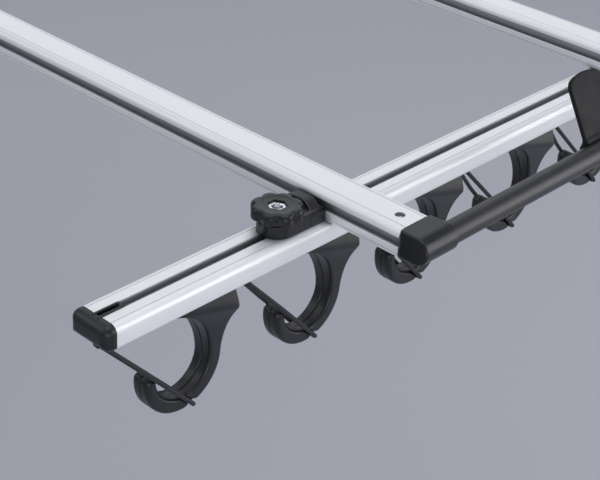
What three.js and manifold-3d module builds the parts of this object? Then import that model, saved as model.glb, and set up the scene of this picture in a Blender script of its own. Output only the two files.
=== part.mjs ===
// Overhead gear rack: two slotted bars in a frame with two round cross tubes, and two slotted cross
// rails under the bars that each carry six C-shaped hooks closed by elastic bands.
// Millimetres, +Z up. +X runs along the cross rails, +Y along the bars. The hooks open towards -X.
// While the pieces are laid out, z = 0 is where the bars rest on the rails; the whole rack is then
// moved so that its origin is the centre of its bounding box.
import * as THREE from 'three';
import { mergeVertices } from 'three/addons/utils/BufferGeometryUtils.js';
import Module from 'manifold-3d';

const wasm = await Module();
wasm.setup();

// ---- driving dimensions ----
const GAP = 0.3;                 // clearance between touching pieces

const BAR_LENGTH = 1200;
const BAR_WIDTH = 36.6;
const BAR_HEIGHT = 23.4;
const BAR_SPACING = 410.4;       // centre to centre
const BAR_SHOULDER = 6.4;        // rounding of the upper edges
const BAR_FOOT = 1.2;            // rounding of the lower edges
const BAR_SLOT_HEIGHT = 12.3;    // centre of the side slots above the rail

const RAIL_LENGTH = 873.4;
const RAIL_WIDTH = 40;
const RAIL_HEIGHT = 20;
const RAIL_SPACING = 1022.2;     // centre to centre
const RAIL_SHOULDER = 6.4;
const RAIL_FOOT = 4;

const SLOT = { mouth: 8.2, lip: 1.8, width: 13, depth: 7 };

const TUBE_RADIUS = 9.5;
const TUBE_WALL = 1.5;
const TUBE_AXIS = { beyondBar: 15.9, height: 11.7 };
const SOCKET_RADIUS = 11.7;
const SOCKET_REACH = 3.7;        // how far a socket stands out from the side of its bar
const JOINT_TONGUE = { width: 12.4, height: 15, length: 40 };
const SCREW = { fromEnd: 15, holeRadius: 4, headRadius: 3.6, shankRadius: 2.4 };

const BRACKET = { from: 9.4, to: 56.2, lean: 29, thickness: 4, height: 51.5, crown: 5 };

const CAP_LENGTH = 10.3;
const CAP_PRONG = { length: 21, width: 1.6, spread: 2.9, proud: 0.7 };

const HOOKS_PER_RAIL = 6;
const HOOK_PITCH = 135;
const FIRST_HOOK = -363.5;       // centre of the first hook's hollow
const HOOK_DROP = 76;            // from the top of the rail to the centre of the hollow
const HOOK_HALF = 9;             // half the thickness of the lower hook
const HOOK_INNER = 26;           // radius of the hollow's lower half
const HOOK_UPPER = 57;           // radius of the arc that closes the hollow above
const HOOK_OUTER = 38;
const FLANGE_HALF = 20.3;        // half width of the hook at its ridge

const BAND_RADIUS = 1.85;
const BAND_HALF_SPREAD = 11.3;   // from the hook's middle to the centre of a strand
const BAND_EYE_SPREAD = 4.6;     // the same where the loop turns in its eye
const BAND_ANCHOR = [-74, 52];   // in the hook's own x and z, from the centre of its hollow
const BAND_END = [8.7, -36.2];
const EYE_HALF = 2;              // half the thickness of the lug that the eye is in

const KNOB_X = 261.5;
const KNOB = { radius: 20.4, lobe: 1.5, lobes: 8, bottom: 13, top: 21.7, edge: 1.6 };
const BASE = { radius: 15.5, height: 12.2, jawTop: 17.5, jawClearance: 21.9 };
const STUD_RADIUS = 3.7;
const HEX_ACROSS = 13;

// ---- materials ----
const finish = (color, roughness, metalness) => new THREE.MeshStandardMaterial({ color, roughness, metalness });
const aluminium = () => finish(0xc9ccd2, 0.32, 1);
const steel = () => finish(0xd8dade, 0.2, 1);
const plastic = () => finish(0x222428, 0.5, 0);
const glossyPlastic = () => finish(0x1c1d20, 0.3, 0);
const coatedTube = () => finish(0x1a1b1f, 0.28, 0.3);
const rubber = () => finish(0x2b2c30, 0.7, 0);

// ---- solids ----
function solid(geometry) {
  const bare = geometry.index ? geometry.toNonIndexed() : geometry.clone();
  bare.deleteAttribute('normal');
  bare.deleteAttribute('uv');
  const merged = mergeVertices(bare, 1e-4);
  return new wasm.Manifold(new wasm.Mesh({
    numProp: 3,
    vertProperties: new Float32Array(merged.attributes.position.array),
    triVerts: new Uint32Array(merged.index.array),
  }));
}

function geometryOf(body) {
  const mesh = body.getMesh();
  const geometry = new THREE.BufferGeometry();
  geometry.setAttribute('position', new THREE.BufferAttribute(new Float32Array(mesh.vertProperties), 3));
  geometry.setIndex(new THREE.BufferAttribute(new Uint32Array(mesh.triVerts), 1));
  geometry.computeVertexNormals();
  return geometry;
}

const join = (...bodies) => bodies.reduce((whole, body) => whole.add(body));
const cut = (whole, ...bodies) => bodies.reduce((rest, body) => rest.subtract(body), whole);

function box(x, y, z) {
  const size = [x, y, z].map(([low, high]) => high - low);
  const centre = [x, y, z].map(([low, high]) => (high + low) / 2);
  return solid(new THREE.BoxGeometry(...size).translate(...centre));
}

function cylinder(radius, axis, [low, high], at, sides = 24) {
  const geometry = new THREE.CylinderGeometry(radius, radius, high - low, sides);
  if (axis === 'x') geometry.rotateZ(-Math.PI / 2);
  if (axis === 'z') geometry.rotateX(Math.PI / 2);
  const middle = (high + low) / 2;
  const centre = { x: [middle, ...at], y: [at[0], middle, at[1]], z: [...at, middle] }[axis];
  return solid(geometry.translate(...centre));
}

// An outline drawn in x and z, extruded along y from low to high.
function alongY(shape, [low, high], curveSegments = 8) {
  const geometry = new THREE.ExtrudeGeometry(shape, { depth: high - low, bevelEnabled: false, curveSegments });
  return solid(geometry.rotateX(Math.PI / 2).translate(0, high, 0));
}

// An outline drawn in y and z, extruded along x from low to high.
function alongX(shape, [low, high], curveSegments = 8) {
  const geometry = new THREE.ExtrudeGeometry(shape, { depth: high - low, bevelEnabled: false, curveSegments });
  return solid(geometry.rotateX(Math.PI / 2).rotateZ(Math.PI / 2).translate(low, 0, 0));
}

// An outline drawn in x and y, extruded along z from low to high.
function alongZ(shape, [low, high], curveSegments = 8) {
  const geometry = new THREE.ExtrudeGeometry(shape, { depth: high - low, bevelEnabled: false, curveSegments });
  return solid(geometry.translate(0, 0, low));
}

// ---- extrusion sections ----
// Rounded rectangle, symmetric about its vertical centre line, from z = low to z = high.
function roundedSection(width, low, high, shoulder, foot) {
  const half = width / 2;
  const shape = new THREE.Shape();
  shape.moveTo(-half + foot, low);
  shape.lineTo(half - foot, low);
  shape.absarc(half - foot, low + foot, foot, -Math.PI / 2, 0, false);
  shape.lineTo(half, high - shoulder);
  shape.absarc(half - shoulder, high - shoulder, shoulder, 0, Math.PI / 2, false);
  shape.lineTo(-half + shoulder, high);
  shape.absarc(-half + shoulder, high - shoulder, shoulder, Math.PI / 2, Math.PI, false);
  shape.lineTo(-half, low + foot);
  shape.absarc(-half + foot, low + foot, foot, Math.PI, 1.5 * Math.PI, false);
  return shape;
}

// T-slot outline that opens at a surface point and runs inwards.
function slotOutline(at, inward) {
  const across = [-inward[1], inward[0]];
  const point = (side, deep) => new THREE.Vector2(
    at[0] + across[0] * side + inward[0] * deep, at[1] + across[1] * side + inward[1] * deep);
  const { mouth, lip, width, depth } = SLOT;
  return new THREE.Shape([
    point(-mouth / 2, -1), point(mouth / 2, -1), point(mouth / 2, lip), point(width / 2, lip),
    point(width / 2, depth), point(-width / 2, depth), point(-width / 2, lip), point(-mouth / 2, lip),
  ]);
}

function rail() {
  const half = RAIL_LENGTH / 2;
  const section = roundedSection(RAIL_WIDTH, -RAIL_HEIGHT, 0, RAIL_SHOULDER, RAIL_FOOT);
  const past = [-half - 1, half + 1];
  return cut(
    alongX(section, [-half, half], 3),
    alongX(slotOutline([0, 0], [0, -1]), past),
    alongX(slotOutline([0, -RAIL_HEIGHT], [0, 1]), past));
}

function bar() {
  const half = BAR_LENGTH / 2;
  const side = BAR_WIDTH / 2;
  const section = roundedSection(BAR_WIDTH, 0, BAR_HEIGHT, BAR_SHOULDER, BAR_FOOT);
  const hollow = roundedSection(
    JOINT_TONGUE.width + 2 * GAP, (BAR_HEIGHT - JOINT_TONGUE.height) / 2 - GAP,
    (BAR_HEIGHT + JOINT_TONGUE.height) / 2 + GAP, 0.5, 0.5);
  const past = [-half - 1, half + 1];
  const hole = y => cylinder(SCREW.holeRadius, 'z', [BAR_HEIGHT / 2, BAR_HEIGHT + 1], [0, y], 16);
  return cut(
    alongY(section, [-half, half], 3),
    alongY(slotOutline([-side, BAR_SLOT_HEIGHT], [1, 0]), past),
    alongY(slotOutline([side, BAR_SLOT_HEIGHT], [-1, 0]), past),
    alongY(hollow, past, 1),
    hole(-half + SCREW.fromEnd),
    hole(half - SCREW.fromEnd));
}

// ---- frame corners, drawn for the front left corner ----
// The bar's centre line is x = 0 and its end is y = 0; the joint reaches forward, to -y.
function cornerJoint() {
  const half = BAR_WIDTH / 2;
  const axis = [-TUBE_AXIS.beyondBar, TUBE_AXIS.height];
  const body = new THREE.Shape();
  body.moveTo(-GAP, 0);
  body.lineTo(-GAP, BAR_HEIGHT);
  body.lineTo(axis[0], BAR_HEIGHT);
  body.absarc(axis[0], BAR_HEIGHT / 2, BAR_HEIGHT / 2, Math.PI / 2, 1.5 * Math.PI, false);
  const blockTop = (BAR_HEIGHT + JOINT_TONGUE.height) / 2;
  const blockSide = JOINT_TONGUE.width / 2;
  const tongue = box([-blockSide, blockSide], [-1, JOINT_TONGUE.length], [BAR_HEIGHT - blockTop, blockTop]);
  const socketEnd = half + SOCKET_REACH;
  return cut(
    join(
      alongX(body, [-half, half], 6),
      cylinder(SOCKET_RADIUS, 'x', [half - 12, socketEnd], axis),
      tongue),
    cylinder(TUBE_RADIUS + GAP, 'x', [-half + 8, socketEnd + 1], axis),
    cylinder(SCREW.shankRadius + GAP, 'z', [-1, BAR_HEIGHT + 1], [0, SCREW.fromEnd], 12));
}

// Socket screw: a low cylindrical head in the bar's top wall, a shank down into the tongue.
function jointScrew() {
  const top = BAR_HEIGHT - 0.9;
  const shoulder = (BAR_HEIGHT + JOINT_TONGUE.height) / 2 + GAP;
  const at = [0, SCREW.fromEnd];
  return cut(
    join(
      cylinder(SCREW.headRadius, 'z', [shoulder, top], at, 16),
      cylinder(SCREW.shankRadius, 'z', [6, shoulder + 0.5], at, 12)),
    cylinder(1.7, 'z', [top - 1.4, top + 1], at, 6));
}

function crossTube() {
  const half = BAR_SPACING / 2 + BAR_WIDTH / 2 - 8.6;
  const profile = [
    [TUBE_RADIUS - TUBE_WALL, -half], [TUBE_RADIUS, -half], [TUBE_RADIUS, half],
    [TUBE_RADIUS - TUBE_WALL, half], [TUBE_RADIUS - TUBE_WALL, -half],
  ].map(([x, y]) => new THREE.Vector2(x, y));
  return solid(new THREE.LatheGeometry(profile, 24).rotateZ(-Math.PI / 2));
}

// Plate with a crowned top that leans back over the rack, on a saddle behind the tube.
// The tube's axis is y = 0, z = 0.
function bracket() {
  const { from, to, lean, thickness, height, crown } = BRACKET;
  const width = to - from;
  const crownRadius = (width * width / 4 + crown * crown) / (2 * crown);
  const spread = Math.asin(width / 2 / crownRadius);
  const corner = 4;
  const plate = new THREE.Shape();
  plate.moveTo(-width / 2, -6);
  plate.lineTo(width / 2, -6);
  plate.lineTo(width / 2, height - corner);
  plate.absarc(0, height + crown - crownRadius, crownRadius, Math.PI / 2 - spread * 0.82, Math.PI / 2 + spread * 0.82);
  plate.lineTo(-width / 2, height - corner);
  const leaning = new THREE.ExtrudeGeometry(plate, { depth: thickness, bevelEnabled: false, curveSegments: 4 })
    .rotateX(Math.PI / 2 - THREE.MathUtils.degToRad(lean))
    .translate((from + to) / 2, 11.2, 7.4);
  const inner = TUBE_RADIUS + GAP;
  const outer = inner + 4;
  const saddle = new THREE.Shape();
  saddle.absarc(0, 0, outer, -1.1, 0.95, false);
  saddle.absarc(0, 0, inner, 0.95, -1.1, true);
  const foot = alongX(saddle, [from, to], 5);
  return cut(join(solid(leaning), foot), cylinder(inner, 'x', [from - 1, to + 1], [0, 0], 24));
}

// ---- rail end cap, drawn for the left end: the rail's end is x = 0 and the cap reaches to -x ----
function endCap() {
  const section = roundedSection(RAIL_WIDTH, -RAIL_HEIGHT, 0, RAIL_SHOULDER, RAIL_FOOT);
  const side = new THREE.Shape();
  side.moveTo(-GAP, -RAIL_HEIGHT);
  side.lineTo(-GAP, 0);
  side.absellipse(-GAP, -8, CAP_LENGTH - GAP, 8, Math.PI / 2, Math.PI, false);
  side.lineTo(-CAP_LENGTH, -15);
  side.absarc(-CAP_LENGTH + 5, -15, 5, Math.PI, 1.5 * Math.PI, false);
  const plan = new THREE.Shape();
  const half = RAIL_WIDTH / 2;
  plan.moveTo(0, -half);
  plan.lineTo(0, half);
  plan.absarc(-CAP_LENGTH + 7, half - 7, 7, Math.PI / 2, Math.PI, false);
  plan.absarc(-CAP_LENGTH + 7, -half + 7, 7, Math.PI, 1.5 * Math.PI, false);
  const shell = alongX(section, [-CAP_LENGTH, -GAP], 2)
    .intersect(alongY(side, [-half - 1, half + 1], 3))
    .intersect(alongZ(plan, [-RAIL_HEIGHT - 1, 1], 2));
  const { length, width, spread, proud } = CAP_PRONG;
  const prong = y => box([-3, length], [y - width / 2, y + width / 2], [-5, proud]);
  const bridge = box([-3, length - 2], [-spread, spread], [-5, -3.4]);
  const plug = box([-3, 12], [-5.8, 5.8], [-6.6, -2.3]);
  const eyeAt = [FIRST_HOOK + BAND_ANCHOR[0] + RAIL_LENGTH / 2, BAND_ANCHOR[1] - HOOK_DROP];
  return join(shell, prong(-spread), prong(spread), bridge, plug, bandEye(eyeAt, -5));
}

// ---- C hook, drawn about the centre of its hollow ----
// A lug under the rail with an eye that the cross end of a band turns in, joined back to the piece
// at x = from.
function bandEye([x, z], from) {
  const sides = [-EYE_HALF, EYE_HALF];
  const lug = join(
    cylinder(BAND_RADIUS + 2.2, 'y', sides, [x, z], 12),
    box([Math.min(from, x), Math.max(from, x)], sides, [z, z + BAND_RADIUS + 3]));
  return cut(lug, cylinder(BAND_RADIUS + GAP, 'y', [-EYE_HALF - 1, EYE_HALF + 1], [x, z], 12));
}

function hookProfile() {
  const top = HOOK_DROP - RAIL_HEIGHT - GAP;
  const upperCentre = HOOK_INNER - HOOK_UPPER;
  const topAngle = Math.asin(top / HOOK_UPPER);
  const tip = (HOOK_OUTER - HOOK_INNER) / 2;
  const tipCentre = -(HOOK_INNER + tip);
  const shape = new THREE.Shape();
  shape.moveTo(upperCentre + HOOK_UPPER * Math.cos(topAngle), top);
  shape.absarc(upperCentre, 0, HOOK_UPPER, topAngle, 0, true);
  shape.absarc(0, 0, HOOK_INNER, 0, -Math.PI, true);
  shape.absarc(tipCentre, 0, tip, 0, Math.PI, false);
  shape.absarc(0, 0, HOOK_OUTER, Math.PI, 1.83 * Math.PI, false);
  shape.lineTo(38.6, 6);
  shape.quadraticCurveTo(40, 22, 46.3, 38);
  shape.lineTo(45.6, 45);
  shape.lineTo(43.5, top);
  return shape;
}

// Front outline of the hook in y and z, measured from the ridge: thin below, flaring to the ridge,
// drawn in again above it.
function flareOutline() {
  const below = -150;
  const above = 40;
  const flare = side => [
    [HOOK_HALF, below], [HOOK_HALF, -42], [HOOK_HALF + 1.6, -27], [HOOK_HALF + 5, -12],
    [FLANGE_HALF, -1], [FLANGE_HALF, 1], [FLANGE_HALF - 3.9, 15], [FLANGE_HALF - 4.2, above],
  ].map(([half, z]) => new THREE.Vector2(side * half, z));
  return new THREE.Shape([...flare(1), ...flare(-1).reverse()]);
}

function hook() {
  const top = HOOK_DROP - RAIL_HEIGHT - GAP;
  const [ridgeX, ridgeZ] = [46.3, 40];
  const fall = Math.atan2(top - ridgeZ, ridgeX + 19);
  const flareBar = new THREE.ExtrudeGeometry(flareOutline(), { depth: 260, bevelEnabled: false })
    .rotateX(Math.PI / 2).rotateZ(Math.PI / 2).translate(-130, 0, 0)
    .rotateY(fall)
    .translate(ridgeX, 0, ridgeZ);
  const body = alongY(hookProfile(), [-FLANGE_HALF - 1, FLANGE_HALF + 1], 5).intersect(solid(flareBar));

  const neck = box([0, 34], [-3.7, 3.7], [top - 1, top + GAP + SLOT.lip + 0.8]);
  const foot = box([0, 34], [-6, 6], [top + GAP + SLOT.lip + GAP, top + GAP + SLOT.depth - 1]);
  const eye = bandEye([HOOK_PITCH + BAND_ANCHOR[0], BAND_ANCHOR[1]], 40);

  return cut(join(body, neck, foot, eye), bandRelease());
}

// The notch that the end of the band rests in, with a ramp on which it swings down and away.
function bandRelease() {
  const reach = [BAND_END[0] - BAND_ANCHOR[0], BAND_END[1] - BAND_ANCHOR[1]];
  const length = Math.hypot(...reach);
  const angle = Math.atan2(reach[1], reach[0]);
  const clearance = BAND_RADIUS + 0.7;
  const swing = THREE.MathUtils.degToRad(6);
  const ramp = new THREE.Shape();
  ramp.absarc(...BAND_ANCHOR, length - clearance, angle - swing, angle, false);
  ramp.absarc(...BAND_ANCHOR, length + 8, angle, angle - swing, true);
  const past = [-HOOK_HALF - 2, HOOK_HALF + 2];
  return join(
    alongY(ramp, past, 3),
    cylinder(clearance, 'y', past, BAND_END, 12));
}

// ---- elastic band: a closed loop, drawn in place about the hook's hollow ----
// Its strands spread from the eye to either side of the hook's tip, then run on side by side.
function band() {
  const reach = [BAND_END[0] - BAND_ANCHOR[0], BAND_END[1] - BAND_ANCHOR[1]];
  const length = Math.hypot(...reach);
  const chamfer = BAND_RADIUS * 0.585;
  const flat = BAND_RADIUS - chamfer;
  const spreadAt = length * 0.45;
  const outline = (shape, grow) => {
    const wide = BAND_HALF_SPREAD + grow;
    const narrow = BAND_EYE_SPREAD + grow;
    const bend = 2.6 + grow;
    const end = length + grow - bend;
    const eye = bend - grow;
    shape.moveTo(spreadAt, -wide);
    shape.lineTo(end, -wide);
    shape.absarc(end, bend - wide, bend, 1.5 * Math.PI, 2 * Math.PI, false);
    shape.absarc(end, wide - bend, bend, 0, 0.5 * Math.PI, false);
    shape.lineTo(spreadAt, wide);
    shape.absarc(eye, narrow - bend, bend, 0.5 * Math.PI, Math.PI, false);
    shape.absarc(eye, bend - narrow, bend, Math.PI, 1.5 * Math.PI, false);
    return shape;
  };
  const ring = outline(new THREE.Shape(), flat);
  ring.holes.push(outline(new THREE.Path(), -flat));
  const bevel = { bevelEnabled: true, bevelThickness: chamfer, bevelSize: chamfer, bevelSegments: 1 };
  return new THREE.ExtrudeGeometry(ring, { depth: 2 * flat, curveSegments: 1, ...bevel })
    .translate(0, 0, -flat)
    .rotateY(-Math.atan2(reach[1], reach[0]))
    .translate(BAND_ANCHOR[0], 0, BAND_ANCHOR[1]);
}

// ---- clamp, drawn for a bar on its +x side; the knob's axis is x = 0, y = 0 ----
const TO_BAR = KNOB_X - BAR_SPACING / 2 - BAR_WIDTH / 2;

function clampBase() {
  const { radius, height, jawTop, jawClearance } = BASE;
  const end = TO_BAR - GAP;
  const plan = new THREE.Shape();
  plan.moveTo(0, -radius);
  plan.lineTo(end, -radius);
  plan.lineTo(end, radius);
  plan.lineTo(0, radius);
  plan.absarc(0, 0, radius, Math.PI / 2, 1.5 * Math.PI, false);
  const jaw = new THREE.Shape();
  jaw.moveTo(end, -radius);
  jaw.lineTo(end, radius);
  jaw.lineTo(end - 8, radius);
  jaw.lineTo(Math.sqrt(jawClearance ** 2 - 100), 10);
  jaw.absarc(0, 0, jawClearance, Math.asin(10 / jawClearance), -Math.asin(10 / jawClearance), true);
  jaw.lineTo(end - 8, -radius);
  const sideView = new THREE.Shape([
    [-radius, height - 1], [radius, height - 1], [radius, jawTop - 3], [radius - 3, jawTop],
    [-4, jawTop], [-11, height + 1],
  ].map(([y, z]) => new THREE.Vector2(y, z)));
  const raised = alongZ(jaw, [height - 1, jawTop], 4).intersect(alongX(sideView, [0, end + 1]));
  const lip = box([end - 2, TO_BAR + SLOT.lip - 0.3], [-radius + 1, radius - 1], [8.6, 13.2]);
  return cut(
    join(alongZ(plan, [GAP, height], 6), raised, lip),
    cylinder(STUD_RADIUS + GAP, 'z', [-1, jawTop], [0, 0], 16));
}

function hexagon(across) {
  const corner = across / Math.sqrt(3);
  return new THREE.Shape(Array.from({ length: 6 }, (_, i) => new THREE.Vector2(
    corner * Math.cos(i * Math.PI / 3), corner * Math.sin(i * Math.PI / 3))));
}

// T-bolt: a square head in the rail's slot and a round stud up through the base into the nut.
function clampBolt() {
  const headTop = -SLOT.lip - GAP;
  return join(
    box([-6, 6], [-6, 6], [headTop - 3.8, headTop]),
    cylinder(STUD_RADIUS, 'z', [headTop - 1, KNOB.top - 3.4], [0, 0], 16));
}

// Hand knob with rounded lobes, a flat top and a hexagonal well for the nut.
function knob() {
  const { radius, lobe, lobes, bottom, top, edge } = KNOB;
  const steps = lobes * 4;
  const outline = new THREE.Shape(Array.from({ length: steps }, (_, i) => {
    const angle = 2 * Math.PI * i / steps;
    const reach = radius - edge - lobe + lobe * Math.cos(lobes * angle);
    return new THREE.Vector2(reach * Math.cos(angle), reach * Math.sin(angle));
  }));
  const bevel = { bevelEnabled: true, bevelThickness: edge, bevelSize: edge, bevelSegments: 1 };
  const body = new THREE.ExtrudeGeometry(outline, { depth: top - bottom - 2 * edge, ...bevel })
    .translate(0, 0, bottom + edge);
  return cut(
    solid(body),
    alongZ(hexagon(HEX_ACROSS + 2 * GAP), [bottom + 2, top + 1]),
    cylinder(STUD_RADIUS + GAP, 'z', [bottom - 1, top], [0, 0], 16));
}

function knobNut() {
  const low = KNOB.bottom + 2 + GAP;
  return cut(
    alongZ(hexagon(HEX_ACROSS), [low, low + 3.6]),
    cylinder(STUD_RADIUS + GAP, 'z', [low - 1, low + 5], [0, 0], 16));
}

// ---- assembly ----
const rack = new THREE.Group();

function place(name, body, material, position, mirror = [1, 1]) {
  let geometry = body.isBufferGeometry ? body.clone() : geometryOf(body);
  if (mirror[0] * mirror[1] < 0) {
    geometry = geometryOf(solid(geometry).mirror([mirror[0] < 0 ? 1 : 0, mirror[1] < 0 ? 1 : 0, 0]));
  }
  const mesh = new THREE.Mesh(geometry, material);
  mesh.name = name;
  mesh.position.set(...position);
  if (mirror[0] < 0 && mirror[1] < 0) mesh.rotation.z = Math.PI;
  rack.add(mesh);
}

const FRAME_LIFT = GAP;
const SIDES = [['left', -1], ['right', 1]];
const ENDS = [['front', -1], ['rear', 1]];

const shapes = {
  bar: bar(), rail: rail(), joint: cornerJoint(), screw: jointScrew(), tube: crossTube(),
  bracket: bracket(), cap: endCap(), hook: hook(), band: band(), base: clampBase(), bolt: clampBolt(),
  knob: knob(), nut: knobNut(),
};

for (const [side, x] of SIDES) {
  place(`bar_${side}`, shapes.bar, aluminium(), [x * BAR_SPACING / 2, 0, FRAME_LIFT]);
}

for (const [end, y] of ENDS) {
  const tubeAt = [0, y * (BAR_LENGTH / 2 + TUBE_AXIS.beyondBar), TUBE_AXIS.height + FRAME_LIFT];
  place(`tube_${end}`, shapes.tube, coatedTube(), tubeAt);
  place(`bracket_${end}`, shapes.bracket, rubber(), tubeAt, [1, -y]);
  const railY = y * RAIL_SPACING / 2;
  place(`rail_${end}`, shapes.rail, aluminium(), [0, railY, 0]);
  for (const [side, x] of SIDES) {
    const corner = [x * BAR_SPACING / 2, y * BAR_LENGTH / 2, FRAME_LIFT];
    place(`joint_${end}_${side}`, shapes.joint, glossyPlastic(), corner, [-x, -y]);
    place(`joint_screw_${end}_${side}`, shapes.screw, steel(), corner, [-x, -y]);
    place(`cap_${end}_${side}`, shapes.cap, plastic(), [x * RAIL_LENGTH / 2, railY, 0], [-x, 1]);
    const knobAt = [x * KNOB_X, railY, 0];
    place(`clamp_base_${end}_${side}`, shapes.base, glossyPlastic(), knobAt, [-x, -y]);
    place(`clamp_bolt_${end}_${side}`, shapes.bolt, steel(), knobAt);
    place(`knob_${end}_${side}`, shapes.knob, glossyPlastic(), knobAt);
    place(`knob_nut_${end}_${side}`, shapes.nut, steel(), knobAt);
  }
  for (let i = 0; i < HOOKS_PER_RAIL; i += 1) {
    const hollow = [FIRST_HOOK + i * HOOK_PITCH, railY, -HOOK_DROP];
    place(`hook_${end}_${i + 1}`, shapes.hook, plastic(), hollow);
    place(`band_${end}_${i + 1}`, shapes.band, rubber(), hollow);
  }
}

const centre = new THREE.Box3().setFromObject(rack).getCenter(new THREE.Vector3());
rack.position.copy(centre.negate());

export default rack;
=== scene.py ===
"""Looks of the overhead gear rack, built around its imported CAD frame.

Shapes are drawn in millimetres about the same local origins as the CAD pieces, then placed in metres from the
boxes of the CAD nodes. +X runs along the cross rails and +Y along the bars. z = 0 is where the bars rest on
the rails, but a tube and its bracket are drawn about the tube's axis, and a hook and its band about the
centre of the hook's hollow.
"""
import math

import bpy
import numpy as np
from mathutils import Matrix, Vector


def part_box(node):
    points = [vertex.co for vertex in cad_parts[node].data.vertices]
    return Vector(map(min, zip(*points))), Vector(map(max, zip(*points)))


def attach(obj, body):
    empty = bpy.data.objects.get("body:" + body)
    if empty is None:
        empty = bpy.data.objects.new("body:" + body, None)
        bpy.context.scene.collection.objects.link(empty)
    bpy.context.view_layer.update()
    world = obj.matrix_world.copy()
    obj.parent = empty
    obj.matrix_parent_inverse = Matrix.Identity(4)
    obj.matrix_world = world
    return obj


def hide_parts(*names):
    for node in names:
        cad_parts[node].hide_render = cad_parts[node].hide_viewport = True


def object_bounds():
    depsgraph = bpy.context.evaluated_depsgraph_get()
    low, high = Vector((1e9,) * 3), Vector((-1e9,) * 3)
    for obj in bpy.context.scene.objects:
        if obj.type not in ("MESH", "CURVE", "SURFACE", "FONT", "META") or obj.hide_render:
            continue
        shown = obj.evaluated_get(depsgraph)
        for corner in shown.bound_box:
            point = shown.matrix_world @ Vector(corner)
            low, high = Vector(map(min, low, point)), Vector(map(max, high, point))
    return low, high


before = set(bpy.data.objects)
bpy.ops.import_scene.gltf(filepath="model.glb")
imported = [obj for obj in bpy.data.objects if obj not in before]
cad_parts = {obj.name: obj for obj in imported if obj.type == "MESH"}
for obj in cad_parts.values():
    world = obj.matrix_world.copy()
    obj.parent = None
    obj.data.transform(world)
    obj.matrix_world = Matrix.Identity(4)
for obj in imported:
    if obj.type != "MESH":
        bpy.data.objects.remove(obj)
cad_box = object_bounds()

MM = 0.001
GAP = 0.3                       # clearance between touching pieces
ENDS = (("front", -1), ("rear", 1))
SIDES = (("left", -1), ("right", 1))

BAR = {"width": 36.6, "height": 23.4, "shoulder": 6.4, "foot": 1.2, "slot": 12.3, "line": 11.4,
       "side_line": 2.6}
RAIL = {"width": 40.0, "height": 20.0, "shoulder": 6.4, "foot": 4.0, "line": 13.2}
SLOT = {"mouth": 8.2, "lip": 1.8, "width": 13.0, "depth": 7.0, "round": 0.5, "ribs": 6, "rib": 0.25}
LINE = {"half": 0.28, "depth": 0.3}         # fine grooves along the extrusions
SCREW = {"from_end": 15.0, "hole": 4.0, "chamfer": 0.9, "head": 3.6, "shank": 2.4, "below_top": 2.2}
TONGUE = {"half_width": 6.2, "height": 15.0, "length": 40.0}
TUBE = {"radius": 9.5, "wall": 1.5, "beyond_bar": 15.9, "height": 11.7}
# a corner joint's socket; its ring is the wider gap that it leaves round the tube at its mouth
SOCKET = {"radius": 11.7, "depth": 12.0, "reach": 1.2, "ring": 1.0, "ring_depth": 2.0}
PLATE = {"from": 9.4, "to": 56.2, "lean": 29.0, "thickness": 4.0, "height": 51.5, "crown": 5.0,
         "foot": (11.2, 7.4), "saddle": 4.0}
CAP = {"length": 10.3, "round": 7.5, "prong": 21.0, "spread": 2.9, "hole": 0.8, "hole_at": 9.5}
HOOK = {"inner": 26.0, "outer": 38.0, "upper": 57.0, "half": 9.0, "top": 55.7, "ridge": (47.2, 39.0),
        "ridge_left": -19.0, "flare": 8.0, "flare_right": 3.3, "pitch": 135.0, "slimmer": 1.6}
SADDLE = {"depth": 2.75, "half_angle": 6.5}         # dip in the hook's rim under the end of its band
BAND = {"radius": 1.85, "half_spread": 11.3, "eye_spread": 4.6, "bend": 2.6, "anchor": (-74.0, 52.0),
        "end": (8.7, -36.2)}
EYE = {"wall": 2.2, "half": 2.0, "lip": 1.2}        # lug that holds the start of a band
KNOB = {"radius": 21.0, "valley": 3.0, "lobes": 8, "bottom": 13.0, "top": 22.6, "floor": 2.0}
BASE = {"radius": 15.5, "height": 12.2, "jaw_top": 17.5, "jaw_clearance": 26.5, "to_bar": 38.0, "ledge": 1.6}
HEX_ACROSS = 13.0
STUD_RADIUS = 3.7
THREAD = {"pitch": 1.25, "depth": 0.55, "from": 4.0}
SHARP = 32                      # degrees between two faces that makes their edge a sharp one


# ---- camera, floor and light ----
def camera():
    """A long lens out beyond the front left corner, looking down on it at 31 degrees."""
    forward = Vector((0.64152, 0.57418, -0.50870)).normalized()
    right = forward.cross(Vector((0.33937, 0.38228, 0.85947))).normalized()
    up = right.cross(forward)
    data = bpy.data.cameras.new("camera")
    data.lens = 88.99
    data.sensor_width = 36.0
    obj = bpy.data.objects.new("camera", data)
    turn = Matrix((right, up, -forward)).transposed().to_4x4()
    obj.matrix_world = Matrix.Translation((-0.9779, -1.1774, 0.5917)) @ turn
    bpy.context.scene.collection.objects.link(obj)
    bpy.context.scene.camera = obj


def softbox(name, direction, distance, size, power):
    """A rectangular light, out in a direction from the middle of the rack and facing it."""
    data = bpy.data.lights.new(name, "AREA")
    data.shape = "RECTANGLE"
    data.size, data.size_y = size
    data.energy = power
    obj = bpy.data.objects.new(name, data)
    toward = Vector(direction).normalized()
    obj.location = toward * distance
    obj.rotation_mode = "QUATERNION"
    obj.rotation_quaternion = toward.to_track_quat("Z", "Y")
    obj.visible_camera = False
    bpy.context.scene.collection.objects.link(obj)


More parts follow.
